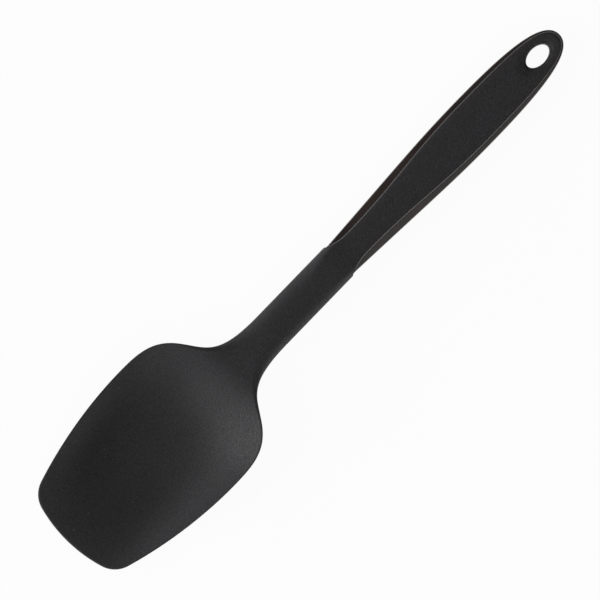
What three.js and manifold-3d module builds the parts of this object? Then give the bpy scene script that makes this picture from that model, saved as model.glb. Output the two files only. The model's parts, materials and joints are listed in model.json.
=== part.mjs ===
// Overmoulded kitchen spoon: a hard nylon core with a soft silicone skin moulded round it.
// Millimetres. The spoon is drawn with its handle level along X, from the tip of the head at x = 0 to the end of
// the handle, with Y across and Z up out of the bowl. It is then laid at rest on its bowl and its handle's end.

import * as THREE from 'three';
import { mergeVertices } from 'three/addons/utils/BufferGeometryUtils.js';
import Module from 'manifold-3d';

const wasm = await Module();
wasm.setup();

const { clamp, lerp, smoothstep, degToRad } = THREE.MathUtils;

// Lengths along the spoon, from the tip of the head
const overallLength = 279.9;
const headWidestAt = 61.9;
const shoulderTurnsAt = 86.8;
const neckEndsAt = 115.9;
const sleeveEndsAt = 153.6;
const flareLength = 11.2;
const handleWidestAt = 231.9;

// Widths and radii of the outline, seen from above
const headWidth = 63.8;
const tipRadius = 60;
const tipArcWidth = 33;
const cornerRadius = 11;
const shoulderTurnWidth = 44.8;
const shankWidth = 16.1;
const frameStartWidth = 14;
const handleWidth = 21.4;
const panelWaistWidth = 10.2;
const bandWidth = 2.2;
const bandEndWidth = 1.2;

// Slopes of the outline, in degrees from the spoon's axis
const sideStartAngle = 17;
const shoulderAngle = 54;
const flareAngle = 36;
const frameStartAngle = 3;

// Fullness of the outline's curves: how far each end's slope is followed, as a share of the curve's span
const sideLeads = [0.28, 0.37];
const shoulderLeads = [0.43, 0.4];
const neckLeads = [0.33, 0.69];
const flareLeads = [0.25, 0.52];
const panelLeads = [0.39, 0.42];
const panelEndLeads = [0.63, 0.17];
const frameLeads = [0.6, 0.28];
const frameEndLeads = [0.58, 0.185];

// Side profile: the head's rim runs on from the shank's top and drops towards the tip, and the head is dished
const headDrop = 12.4;
const crankEase = 1.35;
const bowlDepth = 12.6;
const bowlDeepestAt = 45;
const dishEndsAt = 95;
const tipEase = 1.25;
const neckEase = 1.5;
const dishPower = 2.4;
const shoulderLift = 1.3;
const liftStartsAt = 64;
const liftEndsAt = 106;

// Thicknesses of the silicone
const lipThickness = 1.6;
const lipLand = 0.4;
const lipBlend = 14;
const lipShare = 0.4;
const shellThickness = 3.6;
const keelStartsAt = 52;
const neckThickensAt = 84;
const shankThickness = 9.4;
const shankEdgeRun = 7.4;
const sleeveEndRun = 2.8;
const sleeveEndRunLength = 18;
const panelThickness = 8.4;
const panelEdgeRun = 3.4;
const panelEdgeRise = 0.5;
const sleeveSink = 1.2;

// Nylon core
const clearance = 0.25;
const bladeThickness = 1.6;
const bladeMargin = 9.5;
const spineThickness = 5.6;
const spineWidth = 10;
const bladeEdgeRun = 0.4;
const spineEdgeRun = 1.4;
const frameThickness = 7.4;
const frameEdgeRun = 2;
const frameEdgeRise = 2.4;
const webThickness = 2.4;
const webLead = 4;

// Anchor holes, where the silicone is moulded through the core
const anchorDiameter = 6;
const bladeAnchorRows = [{ at: 30, count: 2 }, { at: 47, count: 3 }, { at: 64, count: 2 }];
const bladeAnchorPitch = 15;
const webAnchorsStartAt = 184;
const webAnchorCount = 4;
const webAnchorPitch = 19;

// Hanging hole, an oval in a shallow dish, with its edges rounded over
const holeLength = 11.7;
const holeWidth = 7;
const holeFromEnd = 12.1;
const liningWall = 1.4;
const holeDishRun = 2.6;
const holeDishDepth = 0.9;
const holeEdgeRun = 1;
const holeEdgeRise = 1.7;

// Facets of the round stretches, and how far the rows of points fan out from the two ends
const skinFacets = { stations: 66, edge: 4, inner: 4 };
const bladeFacets = { stations: 40, edge: 1, inner: 3 };
const tipFan = 30;
const shankFan = 4;
const outlineSampleCount = 600;
const curveSteps = 14;
const bevelSteps = 3;
const holeSides = 32;
const anchorSides = 14;
const mergeDistance = 1e-4;

const shankHalf = shankWidth / 2;
const waistAt = sleeveEndsAt + flareLength;
const holeAt = overallLength - holeFromEnd;
const webStartsAt = waistAt - webLead;
const farOut = overallLength;

// The point a given distance away along a direction given in degrees
const stepFrom = (point, angle, distance) => new THREE.Vector2(
  point.x + distance * Math.cos(degToRad(angle)),
  point.y + distance * Math.sin(degToRad(angle)),
);

// Adds a curve that leaves one point at an angle and comes into the next at another.
function blendTo(path, leaveAngle, [leaveLead, arriveLead], end, arriveAngle) {
  const start = path.currentPoint.clone();
  const span = start.distanceTo(end);
  const leave = stepFrom(start, leaveAngle, leaveLead * span);
  const arrive = stepFrom(end, arriveAngle, -arriveLead * span);
  path.bezierCurveTo(leave.x, leave.y, arrive.x, arrive.y, end.x, end.y);
}

// Upper half of the head and shank seen from above: tip arc, corner, side, shoulder, neck, shank and a round end
// that stays hidden in the handle.
function headOutline() {
  const path = new THREE.Path();
  const tipAngle = Math.asin(tipArcWidth / 2 / tipRadius);
  const cornerReach = tipRadius - cornerRadius;
  const cornerX = tipRadius - cornerReach * Math.cos(tipAngle);
  const cornerY = cornerReach * Math.sin(tipAngle);
  const sideStart = Math.PI / 2 + degToRad(sideStartAngle);
  path.moveTo(0, 0);
  path.absarc(tipRadius, 0, tipRadius, Math.PI, Math.PI - tipAngle, true);
  path.absarc(cornerX, cornerY, cornerRadius, Math.PI - tipAngle, sideStart, true);
  blendTo(path, sideStartAngle, sideLeads, new THREE.Vector2(headWidestAt, headWidth / 2), 0);
  const turn = new THREE.Vector2(shoulderTurnsAt, shoulderTurnWidth / 2);
  blendTo(path, 0, shoulderLeads, turn, -shoulderAngle);
  blendTo(path, -shoulderAngle, neckLeads, new THREE.Vector2(neckEndsAt, shankHalf), 0);
  path.lineTo(waistAt - shankHalf, shankHalf);
  path.absarc(waistAt - shankHalf, 0, shankHalf, Math.PI / 2, 0, true);
  return path;
}

// Upper half of the panel's edge: the flare at the sleeve's end, the waist, the widest place and the round end
function panelOutline() {
  const path = new THREE.Path();
  const widest = new THREE.Vector2(handleWidestAt, handleWidth / 2 - bandWidth);
  path.moveTo(sleeveEndsAt, shankHalf);
  blendTo(path, -flareAngle, flareLeads, new THREE.Vector2(waistAt, panelWaistWidth / 2), 0);
  blendTo(path, 0, panelLeads, widest, 0);
  blendTo(path, 0, panelEndLeads, new THREE.Vector2(overallLength - bandEndWidth, 0), -90);
  return path;
}

// Upper half of the nylon frame's edge round the handle
function frameOutline() {
  const path = new THREE.Path();
  path.moveTo(sleeveEndsAt, frameStartWidth / 2);
  blendTo(path, frameStartAngle, frameLeads, new THREE.Vector2(handleWidestAt, handleWidth / 2), 0);
  blendTo(path, 0, frameEndLeads, new THREE.Vector2(overallLength, 0), -90);
  return path;
}

const mirrorImage = (point) => new THREE.Vector2(point.x, -point.y);
const onAxis = (point) => Math.abs(point.y) < mergeDistance;

// Adds the mirror image of a half outline that starts and ends on the axis
function mirrored(half) {
  const inner = half.slice(1, -1).reverse();
  return [...half, ...inner.map(mirrorImage)];
}

// A half outline moved outwards by a distance, which may change along it
function grown(half, distanceAt) {
  const last = half.length - 1;
  return half.map((point, index) => {
    const ends = [half[index - 1], half[index + 1]];
    if (index === 0) ends[0] = onAxis(point) ? mirrorImage(half[1]) : point;
    if (index === last) ends[1] = onAxis(point) ? mirrorImage(half[last - 1]) : point;
    const along = ends[1].clone().sub(ends[0]).normalize();
    const distance = distanceAt(point.x);
    return new THREE.Vector2(point.x - along.y * distance, point.y + along.x * distance);
  });
}

// Geometry to solid and back
function solid(geometry) {
  geometry.deleteAttribute('normal');
  geometry.deleteAttribute('uv');
  const merged = mergeVertices(geometry, mergeDistance);
  const corners = Array.from(merged.index.array);
  const kept = [];
  for (let first = 0; first < corners.length; first += 3) {
    const [a, b, c] = corners.slice(first, first + 3);
    if (a !== b && b !== c && c !== a) kept.push(a, b, c);
  }
  return new wasm.Manifold(new wasm.Mesh({
    numProp: 3,
    vertProperties: new Float32Array(merged.attributes.position.array),
    triVerts: new Uint32Array(kept),
  }));
}

function geometryOf(manifold) {
  const mesh = manifold.getMesh();
  const geometry = new THREE.BufferGeometry();
  geometry.setAttribute('position', new THREE.BufferAttribute(mesh.vertProperties, 3));
  geometry.setIndex(new THREE.BufferAttribute(mesh.triVerts, 1));
  geometry.computeVertexNormals();
  return geometry;
}

// A flat plate over a closed outline, centred on the handle's middle plane, with its edges rounded over
function plate(points, thickness, edgeRun = 0, edgeRise = 0) {
  const depth = thickness - 2 * edgeRise;
  const geometry = new THREE.ExtrudeGeometry(new THREE.Shape(points), {
    depth,
    bevelEnabled: edgeRun > 0,
    bevelSize: edgeRun,
    bevelOffset: -edgeRun,
    bevelThickness: edgeRise,
    bevelSegments: bevelSteps,
  });
  return solid(geometry.translate(0, 0, -depth / 2));
}

// How far a point of the head lies from the axis towards its edge, from 0 to 1
const outlineSamples = headOutline().getSpacedPoints(outlineSampleCount);

function acrossAt(x, y) {
  if (x <= 0) return 1;
  const next = outlineSamples.findIndex((point) => point.x >= x);
  const before = outlineSamples[next - 1];
  const after = outlineSamples[next];
  const halfWidth = lerp(before.y, after.y, (x - before.x) / (after.x - before.x));
  return Math.min(Math.abs(y) / halfWidth, 1);
}

function dishDepth(x) {
  const quarter = Math.PI / 2;
  if (x < bowlDeepestAt) return bowlDepth * Math.sin(quarter * (x / bowlDeepestAt) ** tipEase);
  const past = Math.min((x - bowlDeepestAt) / (dishEndsAt - bowlDeepestAt), 1);
  return bowlDepth * Math.cos(quarter * past ** neckEase) ** 2;
}

// Height of the head's upper face. It follows the rim line and sinks into the dish between the two sides.
function faceHeight(x, y) {
  const rim = shankThickness / 2 - headDrop * (1 - x / neckEndsAt) ** crankEase;
  const side = acrossAt(x, y) ** dishPower;
  const along = clamp((x - liftStartsAt) / (liftEndsAt - liftStartsAt), 0, 1);
  return rim - dishDepth(x) * (1 - side) + shoulderLift * side * Math.sin(Math.PI * along) ** 2;
}

// How far the shank has formed, from 0 to 1: first as a keel under the bowl, and then at the sides too
const keelShare = (x) => smoothstep(x, keelStartsAt, neckEndsAt);
const sideShare = (x) => smoothstep(x, neckThickensAt, neckEndsAt);

// Thickness of the silicone, with the core in it: thin at the lip, thicker inside it and thickest in the shank
function wallThickness(x, y) {
  if (x >= neckEndsAt) return shankThickness;
  const lip = lerp(lipThickness, shankThickness, sideShare(x));
  const shell = lerp(shellThickness, shankThickness, keelShare(x));
  const fromEdge = smoothstep(1 - acrossAt(x, y), 0, lipShare) * smoothstep(x, 0, lipBlend);
  return lerp(lip, shell, fromEdge);
}

const middleHeight = (x, y) => (x < neckEndsAt ? faceHeight(x, y) - wallThickness(x, y) / 2 : 0);

// A closed body over a half outline, thick in the middle and rounded at its edge, that follows the head's dish.
// The rows of each station run in from the edge to the axis, where both sides meet.
function pillow(half, halfThicknessAt, edgeRunAt, facets) {
  const first = half[0].x;
  const end = half[half.length - 1].x;
  const inward = grown(half, (x) => -edgeRunAt(x));
  const columns = half.map((edge, index) => {
    const nearStart = Math.max(0, 1 - (edge.x - first) / (2 * tipFan));
    const nearEnd = Math.max(0, 1 - (end - edge.x) / (2 * shankFan));
    const axis = new THREE.Vector2(edge.x + tipFan * nearStart - shankFan * nearEnd, 0);
    const column = [];
    for (let step = 0; step <= facets.edge; step += 1) {
      const turn = Math.PI / 2 * step / facets.edge;
      const point = edge.clone().lerp(inward[index], 1 - Math.cos(turn));
      column.push({ point, share: Math.sin(turn) });
    }
    for (let step = 1; step <= facets.inner; step += 1) {
      column.push({ point: inward[index].clone().lerp(axis, step / facets.inner), share: 1 });
    }
    return column.map(({ point, share }) => {
      const reach = lerp(lipLand / 2, halfThicknessAt(point.x, point.y), share);
      const middle = middleHeight(point.x, point.y);
      return { x: point.x, y: point.y, top: middle + reach, bottom: middle - reach };
    });
  });
  const rings = columns.map((column) => [
    ...column.slice().reverse().map(({ x, y, top }) => [x, y, top]),
    ...column.map(({ x, y, bottom }) => [x, y, bottom]),
  ]);
  const positions = [];
  for (const side of [1, -1]) {
    const place = ([x, y, z]) => [x, side * y, z];
    for (let station = 0; station < rings.length - 1; station += 1) {
      for (let row = 0; row < rings[station].length - 1; row += 1) {
        const a = place(rings[station][row]);
        const b = place(rings[station + 1][row]);
        const c = place(rings[station + 1][row + 1]);
        const d = place(rings[station][row + 1]);
        const order = side > 0 ? [a, b, c, a, c, d] : [a, c, b, a, d, c];
        positions.push(...order.flat());
      }
    }
  }
  const geometry = new THREE.BufferGeometry();
  geometry.setAttribute('position', new THREE.Float32BufferAttribute(positions, 3));
  return solid(geometry);
}

const panelHalf = panelOutline().getPoints(curveSteps);
const frameHalf = frameOutline().getPoints(curveSteps);

// Silicone head, neck and sleeve before the core's space is cut out of them
function skinBody() {
  const skinHalf = (x, y) => {
    const sunk = sleeveSink * smoothstep(x, sleeveEndsAt - flareLength / 2, waistAt + shankHalf);
    return wallThickness(x, y) / 2 - sunk;
  };
  const edgeRun = (x) => {
    const run = lerp(lipThickness / 2, shankEdgeRun, sideShare(x));
    return lerp(run, sleeveEndRun, smoothstep(x, sleeveEndsAt - sleeveEndRunLength, sleeveEndsAt));
  };
  return pillow(headOutline().getSpacedPoints(skinFacets.stations), skinHalf, edgeRun, skinFacets);
}

// Everything inside the silicone's outline, seen from above, so that the sleeve's end is cut to the flare
function skinLimit() {
  const half = [
    new THREE.Vector2(-farOut, 0),
    new THREE.Vector2(-farOut, farOut),
    new THREE.Vector2(sleeveEndsAt, farOut),
    ...panelHalf,
  ];
  return plate(mirrored(half), farOut);
}

// Front and back panels of the handle, still joined through its middle
function panelBody() {
  const edge = panelHalf.filter((point) => point.x >= waistAt);
  const half = [
    new THREE.Vector2(sleeveEndsAt, 0),
    new THREE.Vector2(sleeveEndsAt, panelWaistWidth / 2),
    ...edge,
  ];
  return plate(mirrored(half), panelThickness, panelEdgeRun, panelEdgeRise);
}

// Nylon blade and spine, grown by a gap on every side
function bladeAndSpine(gap) {
  const margin = (x) => gap - lerp(bladeMargin, shankHalf - spineWidth / 2, sideShare(x));
  const half = (x) => lerp(bladeThickness, spineThickness, keelShare(x)) / 2 + gap;
  const edgeRun = (x) => lerp(bladeEdgeRun, spineEdgeRun, keelShare(x));
  const outline = grown(headOutline().getSpacedPoints(bladeFacets.stations), margin);
  return pillow(outline, half, edgeRun, bladeFacets);
}

// The slab of the handle that the nylon web fills, grown by a gap
function webSlab(gap) {
  const length = overallLength - webStartsAt + farOut;
  const geometry = new THREE.BoxGeometry(length, farOut, webThickness + 2 * gap);
  return solid(geometry.translate(webStartsAt - gap + length / 2, 0, 0));
}

// Nylon frame round the handle, with the panels' pockets cut into its front and back
function frameBody() {
  const half = [
    new THREE.Vector2(sleeveEndsAt - shankHalf, 0),
    new THREE.Vector2(sleeveEndsAt - shankHalf, frameStartWidth / 2),
    ...frameHalf,
  ];
  const pocketHalf = [
    new THREE.Vector2(0, 0),
    new THREE.Vector2(0, shankHalf + clearance),
    ...grown(panelHalf, () => clearance),
  ];
  const frame = plate(mirrored(half), frameThickness, frameEdgeRun, frameEdgeRise);
  const pockets = plate(mirrored(pocketHalf), farOut).subtract(webSlab(0));
  return frame.subtract(pockets);
}

// Round pins that stand through every anchor hole, thinner than the holes by a gap
function anchorPins(gap) {
  const places = [];
  for (const { at, count } of bladeAnchorRows) {
    for (let index = 0; index < count; index += 1) {
      places.push([at, (index - (count - 1) / 2) * bladeAnchorPitch]);
    }
  }
  for (let index = 0; index < webAnchorCount; index += 1) {
    places.push([webAnchorsStartAt + index * webAnchorPitch, 0]);
  }
  const radius = anchorDiameter / 2 - gap;
  return places.map(([x, y]) => {
    const pin = new THREE.CylinderGeometry(radius, radius, farOut, anchorSides);
    return solid(pin.rotateX(Math.PI / 2).translate(x, y, 0));
  });
}

// Oval post of the hanging hole's lining
function liningPost(gap) {
  const oval = new THREE.EllipseCurve(
    holeAt,
    0,
    holeLength / 2 + liningWall - gap,
    holeWidth / 2 + liningWall - gap,
  );
  return plate(oval.getPoints(holeSides).slice(0, -1), farOut);
}

// The hanging hole itself, turned on its own axis and stretched to an oval
function hangingHole() {
  const radius = holeWidth / 2;
  const dishHeight = (run) => panelThickness / 2 - holeDishDepth * (1 - run / holeDishRun);
  const edge = [];
  for (let step = 0; step <= bevelSteps; step += 1) {
    const turn = Math.PI / 2 * step / bevelSteps;
    const run = holeEdgeRun * (1 - Math.cos(turn));
    edge.push(new THREE.Vector2(radius + run, dishHeight(run) - holeEdgeRise * (1 - Math.sin(turn))));
  }
  const clearRun = holeDishRun + holeEdgeRun;
  const above = new THREE.Vector2(radius + clearRun, dishHeight(clearRun));
  const upper = [...edge, above, new THREE.Vector2(0, above.y)];
  const lower = upper.slice().reverse().map((point) => new THREE.Vector2(point.x, -point.y));
  const turned = new THREE.LatheGeometry([...lower, ...upper], holeSides);
  turned.rotateX(Math.PI / 2).scale(holeLength / holeWidth, 1, 1).translate(holeAt, 0, 0);
  return solid(turned);
}

const cutAll = (body, cutters) => cutters.reduce((rest, cutter) => rest.subtract(cutter), body);

function siliconeOvermould() {
  const blank = skinBody().intersect(skinLimit()).add(panelBody());
  const coreSpace = cutAll(
    bladeAndSpine(clearance).add(webSlab(clearance)),
    [...anchorPins(clearance), liningPost(clearance)],
  );
  return blank.subtract(coreSpace).subtract(hangingHole());
}

function nylonCore() {
  return cutAll(bladeAndSpine(0).add(frameBody()), [...anchorPins(0), liningPost(0)]);
}

// The angle about Y at which the bowl and the handle's end both touch the table
function restingTilt(geometry) {
  const points = [];
  const position = geometry.attributes.position;
  for (let index = 0; index < position.count; index += 1) {
    points.push(new THREE.Vector3().fromBufferAttribute(position, index));
  }
  const head = points.filter((point) => point.x < neckEndsAt);
  const handle = points.filter((point) => point.x > handleWidestAt);
  const passes = 6;
  let tilt = 0;
  for (let pass = 0; pass < passes; pass += 1) {
    const height = (point) => point.z * Math.cos(tilt) - point.x * Math.sin(tilt);
    const lowest = (group) => group.reduce((low, point) => (height(point) < height(low) ? point : low));
    const bowl = lowest(head);
    const heel = lowest(handle);
    tilt = Math.atan2(heel.z - bowl.z, heel.x - bowl.x);
  }
  return tilt;
}

const silicone = new THREE.Mesh(
  geometryOf(siliconeOvermould()),
  new THREE.MeshStandardMaterial({ color: 0x2e2e30, roughness: 0.72, metalness: 0 }),
);
silicone.name = 'silicone_overmould';

const nylon = new THREE.Mesh(
  geometryOf(nylonCore()),
  new THREE.MeshStandardMaterial({ color: 0x241d1b, roughness: 0.3, metalness: 0 }),
);
nylon.name = 'nylon_core';

// The spoon at rest, with the middle of its footprint at the origin
const spoon = new THREE.Group();
spoon.add(nylon, silicone);
spoon.rotation.y = restingTilt(silicone.geometry);
const bounds = new THREE.Box3().setFromObject(spoon, true);
const middle = bounds.getCenter(new THREE.Vector3());
spoon.position.set(-middle.x, -middle.y, -bounds.min.z);

export default spoon;
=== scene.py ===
# A kitchen spoon with a hard nylon core and a soft silicone skin, lying on a pale table and seen from straight above.
# It is drawn with its handle level along X, from the tip of the head, and then laid at rest as the frame holds it.
import bisect
import json
import math

import bmesh
import bpy
from mathutils import Matrix, Vector
from mathutils.geometry import interpolate_bezier, intersect_line_line_2d, intersect_line_sphere_2d
from mathutils.kdtree import KDTree


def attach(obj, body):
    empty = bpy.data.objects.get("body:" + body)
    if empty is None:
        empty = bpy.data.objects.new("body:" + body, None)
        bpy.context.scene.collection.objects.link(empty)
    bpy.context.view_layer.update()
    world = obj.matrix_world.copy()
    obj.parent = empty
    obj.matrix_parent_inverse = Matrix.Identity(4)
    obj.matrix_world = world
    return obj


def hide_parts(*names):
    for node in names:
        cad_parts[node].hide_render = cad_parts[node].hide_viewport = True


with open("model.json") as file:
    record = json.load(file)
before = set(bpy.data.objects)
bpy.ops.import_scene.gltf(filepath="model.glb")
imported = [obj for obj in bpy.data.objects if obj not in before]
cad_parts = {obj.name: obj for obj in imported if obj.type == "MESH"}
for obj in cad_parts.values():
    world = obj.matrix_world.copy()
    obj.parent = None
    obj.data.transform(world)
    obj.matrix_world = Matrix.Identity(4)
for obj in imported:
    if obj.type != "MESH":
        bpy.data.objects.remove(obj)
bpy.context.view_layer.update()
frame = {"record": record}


# Nylon core
# One hard injection moulding in glossy brown-black nylon, made first: a thin blade inside the head, a spine inside the
# shank and the frame of the handle. Only the frame's rounded sides stay bare, as the band round the soft panel.
MM = 0.001
SPOON_LENGTH = 279.85 * MM
HEAD_WIDEST_AT = 61.9 * MM
SHOULDER_TURNS_AT = 86.8 * MM
NECK_END = 115.9 * MM
SLEEVE_END = 153.6 * MM
WAIST_AT = 164.8 * MM
HANDLE_WIDEST_AT = 231.9 * MM

HEAD_WIDTH = 63.8 * MM
TIP_RADIUS = 60.0 * MM
TIP_ARC_WIDTH = 33.0 * MM
CORNER_RADIUS = 11.0 * MM
SHOULDER_TURN_WIDTH = 44.8 * MM
SHANK_WIDTH = 16.1 * MM
FRAME_START_WIDTH = 14.9 * MM
HANDLE_WIDTH = 21.8 * MM
PANEL_WAIST_WIDTH = 10.2 * MM
BAND_WIDTH = 2.4 * MM
BAND_END_WIDTH = 1.2 * MM

SIDE_ANGLE = 17
SHOULDER_ANGLE = 54
FLARE_ANGLE = 36
FRAME_ANGLE = 3

# How far each curve of an outline keeps its first and its last direction, as shares of its span.
SIDE_LEADS = (0.28, 0.37)
SHOULDER_LEADS = (0.43, 0.4)
NECK_LEADS = (0.33, 0.69)
FLARE_LEADS = (0.25, 0.52)
PANEL_LEADS = (0.39, 0.42)
PANEL_END_LEADS = (0.63, 0.17)
FRAME_LEADS = (0.6, 0.28)
FRAME_END_LEADS = (0.58, 0.185)

# Into how many steps each curve and each rounded edge is cut.
FINE = 4
COARSE = 2
TIP_STEPS = 10
CORNER_STEPS = 12
SIDE_STEPS = 20
SHOULDER_STEPS = 16
NECK_STEPS = 18
FLARE_STEPS = 12
PANEL_STEPS = 24
FRAME_STEPS = 36
HANDLE_END_STEPS = 28
BAND_CORNER_STEPS = 8
FLANK_STEPS = 3
CREST_STEPS = 8
WEB_STEPS = 4
BLADE_EDGE_STEPS = 4
BLADE_STEPS = 8
SPINE_END_STEPS = 12

HEAD_DROP = 12.4 * MM
CRANK_EASE = 1.35
BOWL_DEPTH = 12.6 * MM
BOWL_DEEPEST_AT = 45.0 * MM
DISH_END = 95.0 * MM
TIP_EASE = 1.25
NECK_EASE = 1.5
DISH_POWER = 2.4
SHOULDER_LIFT = 1.29 * MM
LIFT_START = 64.0 * MM
LIFT_END = 106.0 * MM

LIP_THICKNESS = 1.6 * MM
LIP_BLEND = 14.0 * MM
LIP_SHARE = 0.4
SHELL_THICKNESS = 3.58 * MM
SHANK_THICKNESS = 9.38 * MM
KEEL_START = 52.0 * MM
NECK_THICKENS_AT = 84.0 * MM

BLADE_THICKNESS = 1.6 * MM
BLADE_MARGIN = 9.5 * MM
SPINE_THICKNESS = 5.6 * MM
SPINE_WIDTH = 10.0 * MM
FRAME_THICKNESS = 7.4 * MM
BAND_CORNER_RUN = 0.35 * MM
BAND_CORNER_RISE = 2.0 * MM
BAND_SLOPE = math.tan(math.radians(20))
CREST_WIDTH = 0.8 * MM
CREST_FALL = math.tan(math.radians(10))
FRAME_RAMP = 1.8 * MM
WEB_THICKNESS = 2.4 * MM
PANEL_GAP = 0.03 * MM

HOLE_LENGTH = 11.7 * MM
HOLE_WIDTH = 7.0 * MM
HOLE_AT = 267.798 * MM
LINING_WALL = 1.4 * MM
HOLE_FAN_STARTS_AT = 256.0 * MM

ANCHOR_DIAMETER = 6.0 * MM
BLADE_ANCHORS = ((30.0 * MM, 2), (47.0 * MM, 3), (64.0 * MM, 2))
BLADE_ANCHOR_PITCH = 15.0 * MM
WEB_ANCHORS_START_AT = 184.0 * MM
WEB_ANCHOR_PITCH = 19.0 * MM
WEB_ANCHOR_COUNT = 4
ANCHOR_SIDES = 24

MERGE = 0.001 * MM
SHARP_ANGLE = math.radians(38)


def ease(value, low, high):
    """Rises smoothly from 0 at low to 1 at high."""
    share = min(max((value - low) / (high - low), 0.0), 1.0)
    return share * share * (3 - 2 * share)


def between(first, last, share):
    return first + (last - first) * share


def step_from(point, angle, distance):
    turn = math.radians(angle)
    return point + distance * Vector((math.cos(turn), math.sin(turn), 0))


def arc_to(outline, centre, radius, first, last, steps):
    """Carries an outline round an arc, with angles in radians."""
    for step in range(1, steps + 1):
        turn = between(first, last, step / steps)
        outline.append(centre + radius * Vector((math.cos(turn), math.sin(turn), 0)))


def sweep_to(outline, leave, leads, end, arrive, steps):
    """Carries an outline to a point on one curve that leaves and arrives at the given angles."""
    start = outline[-1]
    span = (end - start).length
    first = step_from(start, leave, leads[0] * span)
    last = step_from(end, arrive, -leads[1] * span)
    outline.extend(interpolate_bezier(start, first, last, end, steps + 1)[1:])


def head_outline(detail):
    """Half of the head and shank from above: tip arc, corner, side, shoulder, neck and straight shank."""
    outline = [Vector((0, 0, 0))]
    tip_turn = math.asin(TIP_ARC_WIDTH / 2 / TIP_RADIUS)
    reach = TIP_RADIUS - CORNER_RADIUS
    corner = Vector((TIP_RADIUS - reach * math.cos(tip_turn), reach * math.sin(tip_turn), 0))
    side_turn = math.pi / 2 + math.radians(SIDE_ANGLE)
    arc_to(outline, Vector((TIP_RADIUS, 0, 0)), TIP_RADIUS, math.pi, math.pi - tip_turn, TIP_STEPS * detail)
    arc_to(outline, corner, CORNER_RADIUS, math.pi - tip_turn, side_turn, CORNER_STEPS * detail)
    widest = Vector((HEAD_WIDEST_AT, HEAD_WIDTH / 2, 0))
    turn = Vector((SHOULDER_TURNS_AT, SHOULDER_TURN_WIDTH / 2, 0))
    neck = Vector((NECK_END, SHANK_WIDTH / 2, 0))
    sweep_to(outline, SIDE_ANGLE, SIDE_LEADS, widest, 0, SIDE_STEPS * detail)
    sweep_to(outline, 0, SHOULDER_LEADS, turn, -SHOULDER_ANGLE, SHOULDER_STEPS * detail)
    sweep_to(outline, -SHOULDER_ANGLE, NECK_LEADS, neck, 0, NECK_STEPS * detail)
    return outline


def panel_outline(detail):
    """Half of the soft panel from above: the flare at the sleeve's end, the waist, the widest place and the end."""
    outline = [Vector((SLEEVE_END, SHANK_WIDTH / 2, 0))]
    waist = Vector((WAIST_AT, PANEL_WAIST_WIDTH / 2, 0))
    widest = Vector((HANDLE_WIDEST_AT, HANDLE_WIDTH / 2 - BAND_WIDTH, 0))
    end = Vector((SPOON_LENGTH - BAND_END_WIDTH, 0, 0))
    sweep_to(outline, -FLARE_ANGLE, FLARE_LEADS, waist, 0, FLARE_STEPS * detail)
    sweep_to(outline, 0, PANEL_LEADS, widest, 0, PANEL_STEPS * detail)
    sweep_to(outline, 0, PANEL_END_LEADS, end, -90, HANDLE_END_STEPS * detail)
    return outline


def frame_outline(detail):
    """Half of the nylon frame from above, from under the sleeve to the handle's end."""
    outline = [Vector((SLEEVE_END, FRAME_START_WIDTH / 2, 0))]
    widest = Vector((HANDLE_WIDEST_AT, HANDLE_WIDTH / 2, 0))
    end = Vector((SPOON_LENGTH, 0, 0))
    sweep_to(outline, FRAME_ANGLE, FRAME_LEADS, widest, 0, FRAME_STEPS * detail)
    sweep_to(outline, 0, FRAME_END_LEADS, end, -90, HANDLE_END_STEPS * detail)
    return outline


def inward_at(half, index):
    """The direction into the spoon, square to a half outline."""
    before = half[max(index - 1, 0)]
    after = half[min(index + 1, len(half) - 1)]
    along = (after - before).normalized()
    if abs(half[index].y) < MERGE:
        return Vector((1 if index == 0 else -1, 0, 0))
    return Vector((along.y, -along.x, 0))


def both_sides(columns):
    """Adds the mirror image of each column of points, in order round the whole outline."""
    closed = [columns[0], columns[-1]]
    inner = [c for c in columns if c not in closed or abs(c[0].y) > MERGE]
    mirrored = [[Vector((p.x, -p.y, p.z)) for p in column] for column in reversed(inner)]
    return columns + mirrored


def pulled_sheet(columns):
    """A sheet drawn from its rim: a loop round the outline, pulled in row by row along the columns."""
    bm = bmesh.new()
    station = bm.verts.layers.int.new("station")
    rim = bmesh.ops.create_circle(bm, segments=len(columns), radius=1)["verts"]
    for index, vert in enumerate(rim):
        vert[station] = index
        vert.co = columns[index][0]
    edges = bm.edges[:]
    for row in range(1, len(columns[0])):
        pulled = bmesh.ops.extrude_edge_only(bm, edges=edges)["geom"]
        edges = [part for part in pulled if isinstance(part, bmesh.types.BMEdge)]
        for vert in pulled:
            if isinstance(vert, bmesh.types.BMVert):
                vert.co = columns[vert[station]][row]
    return bm


def closed_body(bm):
    """Adds the underside as the upper side's mirror image and closes the seams."""
    bmesh.ops.remove_doubles(bm, verts=bm.verts, dist=MERGE)
    bmesh.ops.mirror(bm, geom=bm.verts[:] + bm.edges[:] + bm.faces[:], axis="Z", merge_dist=MERGE)
    bmesh.ops.remove_doubles(bm, verts=bm.verts, dist=MERGE)
    bmesh.ops.dissolve_degenerate(bm, edges=bm.edges, dist=MERGE / 10)
    bmesh.ops.recalc_face_normals(bm, faces=bm.faces)
    return bm


def piece_from(bm, name):
    """Turns a bmesh into a named object."""
    mesh = bpy.data.meshes.new(name)
    bm.to_mesh(mesh)
    bm.free()
    piece = bpy.data.objects.new(name, mesh)
    bpy.context.scene.collection.objects.link(piece)
    return piece


def cut_or_join(piece, other, operation):
    """Joins another solid to a piece or cuts it out, and keeps the result as the piece's own mesh."""
    modifier = piece.modifiers.new(operation, "BOOLEAN")
    modifier.operation = operation
    modifier.solver = "EXACT"
    modifier.object = other
    graph = bpy.context.evaluated_depsgraph_get()
    made = bpy.data.meshes.new_from_object(piece.evaluated_get(graph))
    piece.modifiers.remove(modifier)
    piece.data = made


head_half = head_outline(FINE)
panel_half = panel_outline(FINE)


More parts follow.
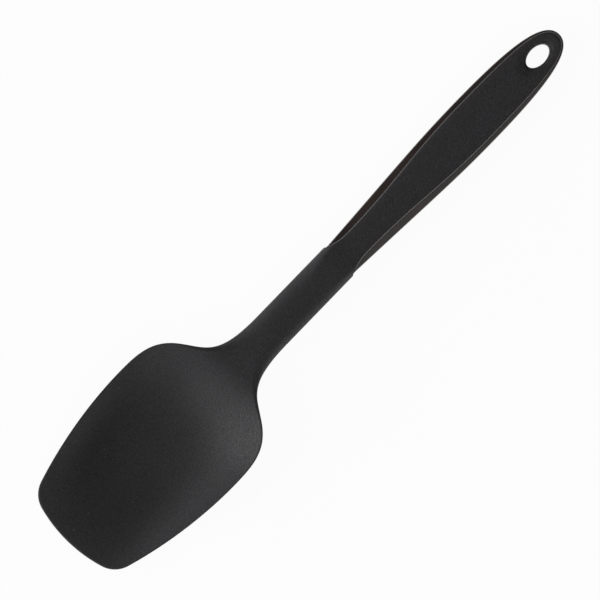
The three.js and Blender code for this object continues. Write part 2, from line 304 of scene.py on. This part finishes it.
def half_width_at(half, x):
    """Half the width of a half outline at a distance from the spoon's tip."""
    after = bisect.bisect_left(half, x, key=lambda point: point.x)
    after = min(max(after, 1), len(half) - 1)
    first = half[after - 1]
    last = half[after]
    return between(first.y, last.y, (x - first.x) / (last.x - first.x))


def across_at(x, y):
    """How far a point of the head lies from the axis towards its edge, from 0 to 1."""
    if x <= 0:
        return 1.0
    return min(abs(y) / half_width_at(head_half, x), 1.0)


def face_height(x, y):
    """Height of the head's upper face: the rim line, which drops from the shank's top, sunk into the dish."""
    rim = SHANK_THICKNESS / 2 - HEAD_DROP * (1 - max(x, 0.0) / NECK_END) ** CRANK_EASE
    if x < BOWL_DEEPEST_AT:
        depth = BOWL_DEPTH * math.sin(math.pi / 2 * (max(x, 0.0) / BOWL_DEEPEST_AT) ** TIP_EASE)
    else:
        past = min((x - BOWL_DEEPEST_AT) / (DISH_END - BOWL_DEEPEST_AT), 1.0)
        depth = BOWL_DEPTH * math.cos(math.pi / 2 * past ** NECK_EASE) ** 2
    side = across_at(x, y) ** DISH_POWER
    along = min(max((x - LIFT_START) / (LIFT_END - LIFT_START), 0.0), 1.0)
    return rim - depth * (1 - side) + SHOULDER_LIFT * side * math.sin(math.pi * along) ** 2


def keel_share(x):
    """How far the shank has formed as a keel under the bowl, from 0 to 1."""
    return ease(x, KEEL_START, NECK_END)


def side_share(x):
    """How far the shank has formed at the head's sides, from 0 to 1."""
    return ease(x, NECK_THICKENS_AT, NECK_END)


def wall_thickness(x, y):
    """Thickness of the head, neck and shank: thin at the lip, thicker inside it and thickest in the shank."""
    if x >= NECK_END:
        return SHANK_THICKNESS
    lip = between(LIP_THICKNESS, SHANK_THICKNESS, side_share(x))
    shell = between(SHELL_THICKNESS, SHANK_THICKNESS, keel_share(x))
    return between(lip, shell, ease(1 - across_at(x, y), 0, LIP_SHARE) * ease(x, 0, LIP_BLEND))


def middle_height(x, y):
    """Height of the middle of the head's wall."""
    return face_height(x, y) - wall_thickness(x, y) / 2 if x < NECK_END else 0.0


mounts = {mount["name"]: mount for mount in frame["record"]["mounts"]}
hole_axis = mounts["hanging_hole"]["axis"]
lean = Matrix.Rotation(math.atan2(hole_axis[0], hole_axis[2]), 4, "Y")
hole_middle = Vector(mounts["hanging_hole"]["pos_m"])
at_rest = Matrix.Translation(hole_middle - lean @ Vector((HOLE_AT, 0, 0))) @ lean


def lay_down(piece):
    """Bends the head's dish into a piece that was drawn flat, and lays it at rest on the table."""
    bm = bmesh.new()
    bm.from_mesh(piece.data)
    for vert in bm.verts:
        vert.co.z += middle_height(vert.co.x, vert.co.y)
    bmesh.ops.transform(bm, matrix=at_rest, verts=bm.verts)
    bm.to_mesh(piece.data)
    bm.free()


def axis_target(edge):
    """Where a column of points that starts at the edge ends on the spoon's axis, fanned out at the tip."""
    fan = TIP_RADIUS / 2
    return Vector((edge.x + fan * max(0.0, 1 - edge.x / (2 * fan)), 0, 0))


def hole_target(share, length, width):
    """A point on an oval about the hanging hole, from its near end to its far end."""
    turn = math.pi * (1 - share)
    return Vector((HOLE_AT + length / 2 * math.cos(turn), width / 2 * math.sin(turn), 0))


def quarter_turn(steps):
    """The run and rise of a rounded edge, each from 0 to 1."""
    turns = [math.pi / 2 * step / steps for step in range(steps + 1)]
    return [(1 - math.cos(turn), math.sin(turn)) for turn in turns]


def band_width_at(half, index):
    """Distance from the frame's edge in to the panel's edge."""
    edge = half[index]
    far = edge + inward_at(half, index) * HANDLE_WIDTH
    past_end = panel_half[-2].reflect(Vector((0, 1, 0)))
    for first, last in zip(panel_half, panel_half[1:] + [past_end]):
        met = intersect_line_line_2d(edge.xy, far.xy, first.xy, last.xy)
        if met:
            return max((met - edge.xy).length - PANEL_GAP, MERGE)
    return MERGE


def frame_column(half, index, target, to_hole):
    """The frame's surface at one station, from its outer middle over the band and across the web."""
    edge = half[index]
    inward = inward_at(half, index)
    inside = edge.y < half_width_at(panel_half, edge.x)
    width = MERGE if inside else band_width_at(half, index)
    web = WEB_THICKNESS / 2
    top = between(web, FRAME_THICKNESS / 2, ease(edge.x, SLEEVE_END, SLEEVE_END + FRAME_RAMP))
    run = min(BAND_CORNER_RUN, width / 3)
    crest = min(CREST_WIDTH, width / 2)
    flank = width - crest - run
    ridge = crest * (BAND_SLOPE - CREST_FALL) / 2
    shoulder = max(top - ridge - BAND_SLOPE * flank, web)
    rise = min(BAND_CORNER_RISE, shoulder - web / 2)
    profile = [(0.0, 0.0)]
    profile += [(run * along, shoulder - rise + rise * up) for along, up in quarter_turn(BAND_CORNER_STEPS)]
    for step in range(1, FLANK_STEPS + 1):
        profile.append((run + flank * step / FLANK_STEPS, shoulder + BAND_SLOPE * flank * step / FLANK_STEPS))
    for step in range(1, CREST_STEPS + 1):
        share = step / CREST_STEPS
        lift = BAND_SLOPE * (share - share ** 2 / 2) - CREST_FALL * share ** 2 / 2
        profile.append((run + flank + crest * share, shoulder + BAND_SLOPE * flank + crest * lift))
    profile.append((width, web))
    column = [edge + inward * distance + Vector((0, 0, height)) for distance, height in profile]
    foot = column[-1]
    end = Vector((target.x, target.y, web))
    column += [foot.lerp(end, step / WEB_STEPS) for step in range(1, WEB_STEPS + 1)]
    column.append(Vector((target.x, target.y, 0 if to_hole else web)))
    return column


def frame_columns():
    """The frame's stations, first along the handle and then fanned round the hanging hole."""
    half = frame_outline(FINE)
    fan = next(index for index, point in enumerate(half) if point.x >= HOLE_FAN_STARTS_AT)
    length = HOLE_LENGTH + 2 * LINING_WALL
    width = HOLE_WIDTH + 2 * LINING_WALL
    near = HOLE_AT - length / 2
    columns = []
    for index in range(fan + 1):
        reach = (half[index].x - SLEEVE_END) / (half[fan].x - SLEEVE_END)
        columns.append(frame_column(half, index, Vector((between(SLEEVE_END, near, reach), 0, 0)), False))
    for index in range(fan, len(half)):
        share = (index - fan) / (len(half) - 1 - fan)
        columns.append(frame_column(half, index, hole_target(share, length, width), True))
    return columns


def blade_columns():
    """The blade and spine, kept a margin inside the head's outline, with a round end inside the handle."""
    half = head_outline(COARSE)
    centre = Vector((WAIST_AT - SHANK_WIDTH / 2, 0, 0))
    half.append(centre + Vector((0, SHANK_WIDTH / 2, 0)))
    arc_to(half, centre, SHANK_WIDTH / 2, math.pi / 2, 0, SPINE_END_STEPS)
    columns = []
    for index, point in enumerate(half):
        margin = between(BLADE_MARGIN, (SHANK_WIDTH - SPINE_WIDTH) / 2, side_share(point.x))
        height = between(BLADE_THICKNESS, SPINE_THICKNESS, keel_share(point.x)) / 2
        inward = inward_at(half, index)
        edge = point + inward * margin
        rounded = []
        for along, up in quarter_turn(BLADE_EDGE_STEPS):
            rounded.append(edge + inward * (along * height / 2) + Vector((0, 0, up * height)))
        end = axis_target(point)
        end.x = min(end.x, centre.x)
        last = Vector((end.x, 0, height))
        flat = [rounded[-1].lerp(last, step / BLADE_STEPS) for step in range(1, BLADE_STEPS + 1)]
        columns.append(rounded + flat)
    return columns


def anchor_places():
    """The middles of the anchor holes, first in the blade and then in the handle's web."""
    for at, count in BLADE_ANCHORS:
        for index in range(count):
            yield at, (index - (count - 1) / 2) * BLADE_ANCHOR_PITCH
    for index in range(WEB_ANCHOR_COUNT):
        yield WEB_ANCHORS_START_AT + index * WEB_ANCHOR_PITCH, 0.0


core = piece_from(closed_body(pulled_sheet(both_sides(frame_columns()))), "nylon_core_moulding")
blade = piece_from(closed_body(pulled_sheet(both_sides(blade_columns()))), "blade_and_spine")
cut_or_join(core, blade, "UNION")
bpy.data.objects.remove(blade)

pins = bmesh.new()
for place_x, place_y in anchor_places():
    bmesh.ops.create_cone(
        pins, cap_ends=True, segments=ANCHOR_SIDES, radius1=ANCHOR_DIAMETER / 2, radius2=ANCHOR_DIAMETER / 2,
        depth=SHANK_WIDTH, matrix=Matrix.Translation((place_x, place_y, 0)))
anchors = piece_from(pins, "anchor_pins")
cut_or_join(core, anchors, "DIFFERENCE")
bpy.data.objects.remove(anchors)
lay_down(core)
core.data.shade_smooth()
core.data.set_sharp_from_angle(angle=SHARP_ANGLE)

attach(core, "root")
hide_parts("nylon_core")


def plain_nodes(name):
    """A new material's node tree, its shader, and a source of Object coordinates."""
    material = bpy.data.materials.new(name)
    material.use_nodes = True
    tree = material.node_tree
    coordinates = tree.nodes.new("ShaderNodeTexCoord").outputs["Object"]
    return material, tree, tree.nodes["Principled BSDF"], coordinates


def noise(tree, coordinates, scale, detail):
    """A noise pattern with so many waves to the metre."""
    texture = tree.nodes.new("ShaderNodeTexNoise")
    texture.inputs["Scale"].default_value = scale
    texture.inputs["Detail"].default_value = detail
    tree.links.new(coordinates, texture.inputs["Vector"])
    return texture.outputs["Fac"]


def ranged(tree, source, given, wanted):
    """Maps a value from one (low, high) range to another."""
    mapped = tree.nodes.new("ShaderNodeMapRange")
    for name, value in zip(("From Min", "From Max", "To Min", "To Max"), given + wanted):
        mapped.inputs[name].default_value = value
    tree.links.new(source, mapped.inputs["Value"])
    return mapped.outputs["Result"]


def shaded(tree, source, places, colours):
    """Turns a value into a colour through a ramp with two stops."""
    ramp = tree.nodes.new("ShaderNodeValToRGB")
    for element, place, colour in zip(ramp.color_ramp.elements, places, colours):
        element.position = place
        element.color = (*colour, 1)
    tree.links.new(source, ramp.inputs["Fac"])
    return ramp.outputs["Color"]


def bumped(tree, height, strength, distance):
    """A surface normal roughened by a height pattern."""
    bump = tree.nodes.new("ShaderNodeBump")
    bump.inputs["Strength"].default_value = strength
    bump.inputs["Distance"].default_value = distance
    tree.links.new(height, bump.inputs["Height"])
    return bump.outputs["Normal"]


NOISE_SPREAD = (0.3, 0.7)
FLOW_WAVES = 60
TOOL_MARK_WAVES = 1400
TOOL_MARK_STRENGTH = 0.1
TOOL_MARK_DEPTH = 0.01 * MM
NYLON_COLOURS = ((0.012, 0.0075, 0.0062), (0.022, 0.014, 0.012))
NYLON_ROUGHNESS = (0.18, 0.23)
NYLON_IOR = 1.53

nylon, tree, shader, coordinates = plain_nodes("gloss_brown_black_nylon")
flow = noise(tree, coordinates, FLOW_WAVES, 3)
tool_marks = noise(tree, coordinates, TOOL_MARK_WAVES, 2)
tree.links.new(shaded(tree, flow, NOISE_SPREAD, NYLON_COLOURS), shader.inputs["Base Color"])
tree.links.new(ranged(tree, tool_marks, NOISE_SPREAD, NYLON_ROUGHNESS), shader.inputs["Roughness"])
tree.links.new(bumped(tree, tool_marks, TOOL_MARK_STRENGTH, TOOL_MARK_DEPTH), shader.inputs["Normal"])
shader.inputs["IOR"].default_value = NYLON_IOR
core.data.materials.clear()
core.data.materials.append(nylon)


# Silicone overmould
# One soft moulding in matte near-black silicone, cast round the core: the dished head with its thin lip, the neck, the
# round sleeve of the shank, the panels on both faces of the handle and the rolled edge of the hanging hole.
SHANK_EDGE_RUN = 7.4 * MM
SLEEVE_END_RUN = 2.8 * MM
SLEEVE_END_RUN_LENGTH = 18.0 * MM
SLEEVE_SINK = 1.2 * MM
SLEEVE_RUNS_OUT_AT = WAIST_AT + SHANK_WIDTH / 2
SLEEVE_SPACING = 1.5 * MM
SHANK_EDGE_FLAT = LIP_THICKNESS / 8
PANEL_FORMED_AT = WAIST_AT + 2 * MM
PANEL_THICKNESS = 8.4 * MM
PANEL_CROWN = 0.5 * MM
PANEL_CROWN_RUN = 3.4 * MM
PANEL_EDGE_RADIUS = 0.05 * MM
HOLE_DISH_RUN = 2.6 * MM
HOLE_DISH_DEPTH = 0.9 * MM
HOLE_EDGE_RUN = 1.0 * MM
HOLE_EDGE_RISE = 1.7 * MM
EDGE_ROWS = 26
EDGE_GRADING = 4.5
EDGE_ROWS_REACH = 1.1 * LIP_BLEND
EDGE_ROWS_SHARE = 0.8
INNER_ROWS = 12
FINDER_SPACING = 0.05 * MM


def finely(points, spacing):
    """Points close together along a line of points."""
    close = []
    for first, last in zip(points, points[1:]):
        steps = max(1, math.ceil((last - first).length / spacing))
        close.extend(first.lerp(last, step / steps) for step in range(steps))
    close.append(points[-1])
    return close


def distance_finder(points):
    """Makes a function that gives a point's distance from a line of points."""
    close = finely(points, FINDER_SPACING)
    tree = KDTree(len(close))
    for index, point in enumerate(close):
        tree.insert(point, index)
    tree.balance()
    return lambda point: tree.find(point)[2]


sleeve_line = head_half + [Vector((SLEEVE_RUNS_OUT_AT, SHANK_WIDTH / 2, 0))]
from_sleeve_edge = distance_finder(sleeve_line)
from_panel_edge = distance_finder(panel_half)


def sleeve_reach(point):
    """Half the thickness of the head, neck and sleeve, with their rounded edge."""
    sunk = SLEEVE_SINK * ease(point.x, SLEEVE_END - (WAIST_AT - SLEEVE_END) / 2, SLEEVE_RUNS_OUT_AT)
    full = wall_thickness(point.x, point.y) / 2 - sunk
    run = between(LIP_THICKNESS / 2, SHANK_EDGE_RUN, side_share(point.x))
    run = between(run, SLEEVE_END_RUN, ease(point.x, SLEEVE_END - SLEEVE_END_RUN_LENGTH, SLEEVE_END))
    rounded = math.sqrt(1 - (1 - min(from_sleeve_edge(point) / run, 1)) ** 2)
    return between(SHANK_EDGE_FLAT, full, rounded)


def panel_reach(edge):
    """Half the thickness of the panel at a distance in from its edge, with a low crown."""
    return PANEL_THICKNESS / 2 - PANEL_CROWN * (1 - min(edge / PANEL_CROWN_RUN, 1)) ** 2


def hole_fall(point):
    """How far the surface sinks towards the hanging hole: a shallow dish, then a rounded edge."""
    across = math.hypot((point.x - HOLE_AT) * HOLE_WIDTH / HOLE_LENGTH, point.y) - HOLE_WIDTH / 2
    dish = HOLE_DISH_DEPTH * (1 - min(max(across, 0) / HOLE_DISH_RUN, 1))
    turn = 1 - min(max(across, 0) / HOLE_EDGE_RUN, 1)
    return dish + HOLE_EDGE_RISE * (1 - math.sqrt(1 - turn ** 2))


def skin_reach(point):
    """Half the thickness of the whole skin, with the panel's rounded edge and the hanging hole's rolled edge."""
    half = sleeve_reach(point) if point.x < SLEEVE_RUNS_OUT_AT else 0
    edge = from_panel_edge(point)
    half = between(half, panel_reach(edge), ease(point.x, SLEEVE_END, PANEL_FORMED_AT))
    radius = min(PANEL_EDGE_RADIUS, half)
    if edge < radius:
        half -= radius - math.sqrt(radius ** 2 - (radius - edge) ** 2)
    return half - hole_fall(point)


def skin_column(edge, crease, target, to_hole):
    """The skin's upper surface at one station, from the middle of its edge in to the axis or the hole."""
    spread = math.exp(EDGE_GRADING) - 1
    shares = [(math.exp(EDGE_GRADING * row / EDGE_ROWS) - 1) / spread for row in range(EDGE_ROWS + 1)]
    plan = [edge.lerp(crease, share) for share in shares]
    for row in range(1, INNER_ROWS + 1):
        plan.append(crease.lerp(target, math.sin(math.pi / 2 * row / INNER_ROWS)))
    column = [edge.copy()]
    column += [Vector((point.x, point.y, skin_reach(point))) for point in plan]
    column.append(Vector((target.x, target.y, 0 if to_hole else column[-1].z)))
    return column


def roll_starts_at(edge, target):
    """Where a column meets the hanging hole's rolled edge, or else a place well inside the lip."""
    squeeze = HOLE_WIDTH / HOLE_LENGTH
    first = Vector(((edge.x - HOLE_AT) * squeeze, edge.y))
    last = Vector(((target.x - HOLE_AT) * squeeze, target.y))
    radius = HOLE_WIDTH / 2 + HOLE_DISH_RUN
    if last.length < radius:
        met = next(place for place in intersect_line_sphere_2d(first, last, Vector((0, 0)), radius) if place)
        return edge.lerp(target, (met - first).length / (last - first).length)
    inner = min(EDGE_ROWS_SHARE, EDGE_ROWS_REACH / (target - edge).length)
    return edge.lerp(target, between(inner, 1, ease(last.length, 2 * radius, radius)))


def skin_columns():
    """The skin's stations, first along the spoon and then fanned round the hanging hole."""
    half = head_half + finely([head_half[-1], panel_half[0]], SLEEVE_SPACING)[1:] + panel_half[1:]
    fan = next(index for index, point in enumerate(half) if point.x >= HOLE_FAN_STARTS_AT)
    near = HOLE_AT - HOLE_LENGTH / 2
    columns = []
    for index in range(fan + 1):
        edge = half[index]
        target = axis_target(edge)
        target.x = between(target.x, near, ease(edge.x, WAIST_AT, half[fan].x))
        columns.append(skin_column(edge, roll_starts_at(edge, target), target, False))
    for index in range(fan, len(half)):
        share = (index - fan) / (len(half) - 1 - fan)
        target = hole_target(share, HOLE_LENGTH, HOLE_WIDTH)
        columns.append(skin_column(half[index], roll_starts_at(half[index], target), target, True))
    return columns


skin = piece_from(closed_body(pulled_sheet(both_sides(skin_columns()))), "silicone_skin")
lay_down(skin)
skin.data.shade_smooth()

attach(skin, "root")
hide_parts("silicone_overmould")

GRAIN_WAVES = 1500
GRAIN_STRENGTH = 0.85
GRAIN_DEPTH = 0.15 * MM
MOTTLE_WAVES = 1100
SPECK_WAVES = 150
SPECK_EDGE = (0.024, 0.04)
SPECK_COVER = (0.7, 0)
SPECK_COLOUR = (0.11, 0.105, 0.1, 1)
SILICONE_COLOURS = ((0.0071, 0.0063, 0.0077), (0.0210, 0.0186, 0.0214))
SILICONE_ROUGHNESS = (0.49, 0.67)
SILICONE_IOR = 1.42

silicone, tree, shader, coordinates = plain_nodes("matte_black_silicone")
grain = noise(tree, coordinates, GRAIN_WAVES, 3)
skin_colour = shaded(tree, grain, NOISE_SPREAD, SILICONE_COLOURS)
specks = tree.nodes.new("ShaderNodeTexVoronoi")
specks.inputs["Scale"].default_value = SPECK_WAVES
tree.links.new(coordinates, specks.inputs["Vector"])
dusty = tree.nodes.new("ShaderNodeMix")
dusty.data_type = "RGBA"
tree.links.new(ranged(tree, specks.outputs["Distance"], SPECK_EDGE, SPECK_COVER), dusty.inputs["Factor"])
tree.links.new(skin_colour, dusty.inputs["A"])
dusty.inputs["B"].default_value = SPECK_COLOUR
tree.links.new(dusty.outputs["Result"], shader.inputs["Base Color"])
mottle = noise(tree, coordinates, MOTTLE_WAVES, 2)
tree.links.new(ranged(tree, mottle, NOISE_SPREAD, SILICONE_ROUGHNESS), shader.inputs["Roughness"])
tree.links.new(bumped(tree, grain, GRAIN_STRENGTH, GRAIN_DEPTH), shader.inputs["Normal"])
shader.inputs["IOR"].default_value = SILICONE_IOR
skin.data.materials.clear()
skin.data.materials.append(silicone)


# Table
# A plain pale sheet under the spoon. It is whitened where the camera sees it, keeps the spoon's soft shadow, and is
# clear when it is seen from below.
TABLE_SIDE = 6.0
TABLE_DROP = 0.05 * MM
TABLE_COLOUR = (0.92, 0.92, 0.92, 1)
TABLE_WHITENING = 0.94

table_sheet = bmesh.new()
bmesh.ops.create_grid(
    table_sheet, x_segments=1, y_segments=1, size=TABLE_SIDE / 2, matrix=Matrix.Translation((0, 0, -TABLE_DROP)))
table = piece_from(table_sheet, "table")

paper = bpy.data.materials.new("pale_table")
paper.use_nodes = True
tree = paper.node_tree
tree.nodes.clear()
output = tree.nodes.new("ShaderNodeOutputMaterial")
matte = tree.nodes.new("ShaderNodeBsdfDiffuse")
matte.inputs["Color"].default_value = TABLE_COLOUR
white = tree.nodes.new("ShaderNodeEmission")
light_path = tree.nodes.new("ShaderNodeLightPath")
seen = tree.nodes.new("ShaderNodeMath")
seen.operation = "MAXIMUM"
tree.links.new(light_path.outputs["Is Camera Ray"], seen.inputs[0])
tree.links.new(light_path.outputs["Is Glossy Ray"], seen.inputs[1])
seen_through = tree.nodes.new("ShaderNodeMath")
seen_through.operation = "MAXIMUM"
tree.links.new(seen.outputs[0], seen_through.inputs[0])
tree.links.new(light_path.outputs["Is Transmission Ray"], seen_through.inputs[1])
whitened = tree.nodes.new("ShaderNodeMath")
whitened.operation = "MULTIPLY"
whitened.inputs[1].default_value = TABLE_WHITENING
tree.links.new(seen_through.outputs[0], whitened.inputs[0])
mixed = tree.nodes.new("ShaderNodeMixShader")
tree.links.new(whitened.outputs[0], mixed.inputs[0])
tree.links.new(matte.outputs[0], mixed.inputs[1])
tree.links.new(white.outputs[0], mixed.inputs[2])
clear = tree.nodes.new("ShaderNodeBsdfTransparent")
side = tree.nodes.new("ShaderNodeNewGeometry")
sheet = tree.nodes.new("ShaderNodeMixShader")
tree.links.new(side.outputs["Backfacing"], sheet.inputs[0])
tree.links.new(mixed.outputs[0], sheet.inputs[1])
tree.links.new(clear.outputs[0], sheet.inputs[2])
tree.links.new(sheet.outputs[0], output.inputs["Surface"])
table.data.materials.append(paper)


# Camera
# A long lens straight above the spoon, turned so that the handle points to the upper right of the picture.
PICTURE_SIDE = 600
SPOON_TURN = math.radians(45.92)
MIDDLE_PIXEL = (313.8, 287.3)
PIXEL_SIZE = 0.3969 * MM
CAMERA_HEIGHT = 1.6
FOCUS_HEIGHT = 6.8 * MM
SENSOR = 36.0

picture_right = Vector((math.cos(SPOON_TURN), -math.sin(SPOON_TURN), 0))
picture_up = Vector((math.sin(SPOON_TURN), math.cos(SPOON_TURN), 0))
off_right = (PICTURE_SIDE / 2 - MIDDLE_PIXEL[0]) * PIXEL_SIZE
off_up = (MIDDLE_PIXEL[1] - PICTURE_SIDE / 2) * PIXEL_SIZE
camera_data = bpy.data.cameras.new("camera")
camera_data.sensor_width = SENSOR
camera_data.lens = SENSOR * (CAMERA_HEIGHT - FOCUS_HEIGHT) / (PICTURE_SIDE * PIXEL_SIZE)
camera = bpy.data.objects.new("camera", camera_data)
bpy.context.scene.collection.objects.link(camera)
turned = Matrix((picture_right, picture_up, Vector((0, 0, 1)))).transposed().to_4x4()
camera.matrix_world = Matrix.Translation(
    picture_right * off_right + picture_up * off_up + Vector((0, 0, CAMERA_HEIGHT))) @ turned
bpy.context.scene.camera = camera


# Light
# Wide soft lamps stand round the spoon: two strong low ones on the left of the picture, weaker low ones behind, in
# front and on the right, weak high ones on the left, in front and on the right, one overhead and an even grey room.
LAMP_DISTANCE = 1.8
LAMP_WIDTH = 0.9
LAMP_DEPTH = 0.45
LOW_LAMP_DEPTH = 0.25


def soft_lamp(name, turn, lift, depth, watts):
    """A wide lamp that faces the spoon, at a turn round the picture and a lift above the table in degrees."""
    data = bpy.data.lights.new(name, "AREA")
    data.shape = "RECTANGLE"
    data.size = LAMP_WIDTH
    data.size_y = depth
    data.energy = watts
    lamp = bpy.data.objects.new(name, data)
    bpy.context.scene.collection.objects.link(lamp)
    around = math.radians(turn)
    level = picture_right * math.cos(around) + picture_up * math.sin(around)
    lifted = math.radians(lift)
    place = LAMP_DISTANCE * (level * math.cos(lifted) + Vector((0, 0, math.sin(lifted))))
    lamp.matrix_world = Matrix.Translation(place) @ place.to_track_quat("Z", "Y").to_matrix().to_4x4()


soft_lamp("left_low", 180, 6, LOW_LAMP_DEPTH, 18.6)
soft_lamp("left_front", 210, 10, LAMP_DEPTH, 16.3)
soft_lamp("left_high", 180, 48, LAMP_DEPTH, 4.4)
soft_lamp("back_fill", 120, 18, LAMP_DEPTH, 6.6)
soft_lamp("front_low", 270, 6, LOW_LAMP_DEPTH, 6.5)
soft_lamp("front_high", 270, 48, LAMP_DEPTH, 2.8)
soft_lamp("right_low", 330, 6, LOW_LAMP_DEPTH, 7.1)
soft_lamp("right_high", 330, 48, LAMP_DEPTH, 0.9)
soft_lamp("overhead", 30, 80, LAMP_DEPTH, 3.5)

# The room is white to the camera alone. What it throws on the spoon stays an even grey.
ROOM_GREY = 0.18
ROOM_WHITE = 1.0
world = bpy.data.worlds.new("room")
world.use_nodes = True
bpy.context.scene.world = world
tree = world.node_tree
room = tree.nodes["Background"]
room.inputs["Color"].default_value = (1, 1, 1, 1)
light_path = tree.nodes.new("ShaderNodeLightPath")
brightness = tree.nodes.new("ShaderNodeMapRange")
brightness.inputs["To Min"].default_value = ROOM_GREY
brightness.inputs["To Max"].default_value = ROOM_WHITE
tree.links.new(light_path.outputs["Is Camera Ray"], brightness.inputs["Value"])
tree.links.new(brightness.outputs["Result"], room.inputs["Strength"])

bpy.context.scene.view_settings.view_transform = "Standard"
